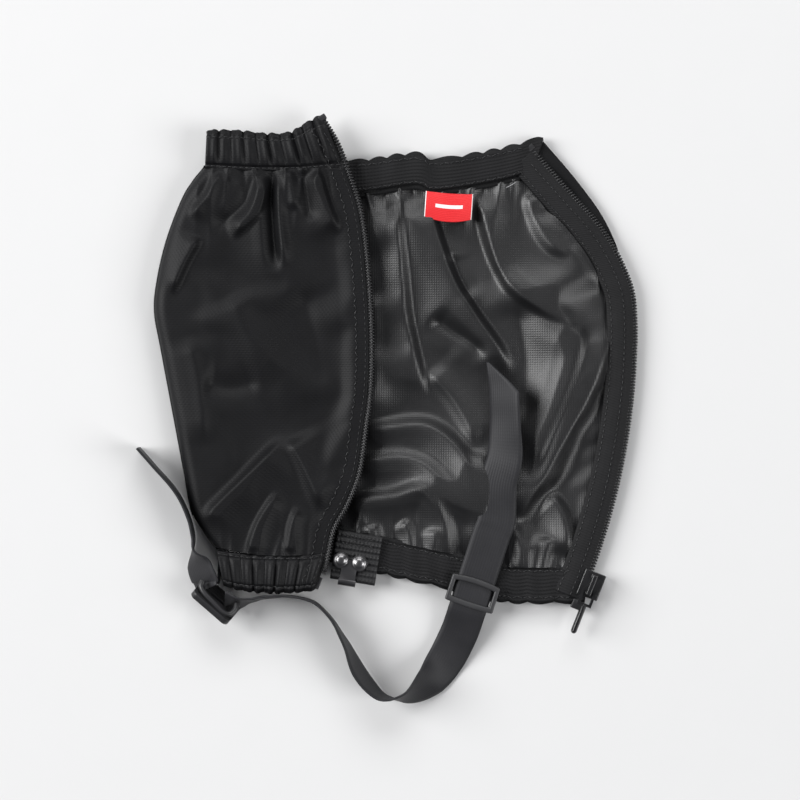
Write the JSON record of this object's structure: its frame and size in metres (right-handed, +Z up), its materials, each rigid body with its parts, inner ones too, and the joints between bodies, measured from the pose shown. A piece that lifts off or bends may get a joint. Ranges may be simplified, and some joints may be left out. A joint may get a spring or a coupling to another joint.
{
  "type": "short hiking gaiter",
  "caption": "Short black hiking gaiter laid open and folded once, with a separating zip, elastic bands, lace hook and instep strap.",
  "frame": {"origin": "middle of the footprint, on the surface the gaiter lies on", "axes": "+X across the opened gaiter from the fold to the zip, +Y from the boot hem to the calf band, +Z up from the surface"},
  "size_m": [0.264, 0.3116, 0.0221],
  "materials": {
    "outer_fabric": "matte woven nylon",
    "inner_coating": "satin coated nylon",
    "elastic": "ribbed elastic",
    "zip_tape": "woven tape",
    "zip_coil": "moulded nylon coil",
    "black_plastic": "fine satin moulding",
    "grey_plastic": "fine satin moulding",
    "webbing": "flat woven webbing",
    "steel": "dark nickel plated",
    "painted_zinc": "semi-gloss black enamel",
    "label": "woven satin"
  },
  "bodies": {
    "root": {"shell_lower": "inner_coating", "shell_fold": "outer_fabric", "calf_band_casing": "outer_fabric", "calf_elastic": "elastic", "hem_casing": "outer_fabric", "hem_elastic": "elastic", "zip_tape_right": "zip_tape", "zip_coil_right": "zip_coil", "zip_top_stop_right": "black_plastic", "zip_retainer_box": "black_plastic", "zip_wind_strip": "outer_fabric", "instep_strap": "webbing", "ladder_lock_loop": "webbing"},
    "flap": {"shell_flap": "outer_fabric", "flap_calf_cuff_casing": "outer_fabric", "flap_calf_cuff_elastic": "elastic", "flap_hem_cuff_casing": "outer_fabric", "flap_hem_cuff_elastic": "elastic", "zip_tape_left": "zip_tape", "zip_coil_left": "zip_coil", "zip_top_stop_left": "black_plastic", "zip_insertion_pin": "black_plastic"},
    "slider": {"slider_body": "painted_zinc"},
    "pull": {"slider_pull": "painted_zinc"},
    "hook_tab": {"hook_tab": "webbing", "lace_hook": "steel", "hook_rivet_left": "steel", "hook_rivet_right": "steel"},
    "label": {"size_label": "label"},
    "tri_glide": {"tri_glide": "grey_plastic"},
    "tail_right": {"strap_tail_right": "webbing"},
    "ladder_lock": {"ladder_lock": "black_plastic"},
    "tail_left": {"strap_tail_left": "webbing"}
  },
  "joints": [
    {"name": "flap_fold", "type": "hinge", "parent": "root", "child": "flap", "pos_m": [-0.09152, -0.0001, 0.017], "axis": [0, -1, 0], "range_deg": [0, 150]},
    {"name": "slider_travel", "type": "hinge", "parent": "root", "child": "slider", "pos_m": [-0.23862, 0.0439, 0.0049], "axis": [0, 0, 1], "range_deg": [0, 20]},
    {"name": "pull_swing", "type": "hinge", "parent": "slider", "child": "pull", "pos_m": [0.10625, -0.09506, 0.0099], "axis": [-0.9304, 0.3665, 0], "range_deg": [0, 120]},
    {"name": "hook_tab_fold", "type": "hinge", "parent": "root", "child": "hook_tab", "pos_m": [-0.01452, -0.0651, 0.0099], "axis": [-0.9863, 0.165, 0], "range_deg": [0, 80]},
    {"name": "label_flip", "type": "hinge", "parent": "root", "child": "label", "pos_m": [0.03298, 0.1146, 0.0081], "axis": [-0.9976, 0.0698, 0], "range_deg": [0, 90]},
    {"name": "glide_slide", "type": "slide", "parent": "root", "child": "tri_glide", "axis": [0.309, 0.9511, 0], "range_m": [0, 0.015]},
    {"name": "tail_right_lift", "type": "hinge", "parent": "root", "child": "tail_right", "pos_m": [0.05435, -0.06653, 0.0106], "axis": [0.9511, -0.309, 0], "range_deg": [0, 70]},
    {"name": "ladder_lock_tilt", "type": "hinge", "parent": "root", "child": "ladder_lock", "pos_m": [-0.0874, -0.09701, 0.00197], "axis": [0.7547, -0.6561, 0], "range_deg": [0, 20]},
    {"name": "tail_left_swing", "type": "hinge", "parent": "root", "child": "tail_left", "pos_m": [-0.09672, -0.0887, 0.008], "axis": [0, 0, 1], "range_deg": [0, 20]}
  ]
}
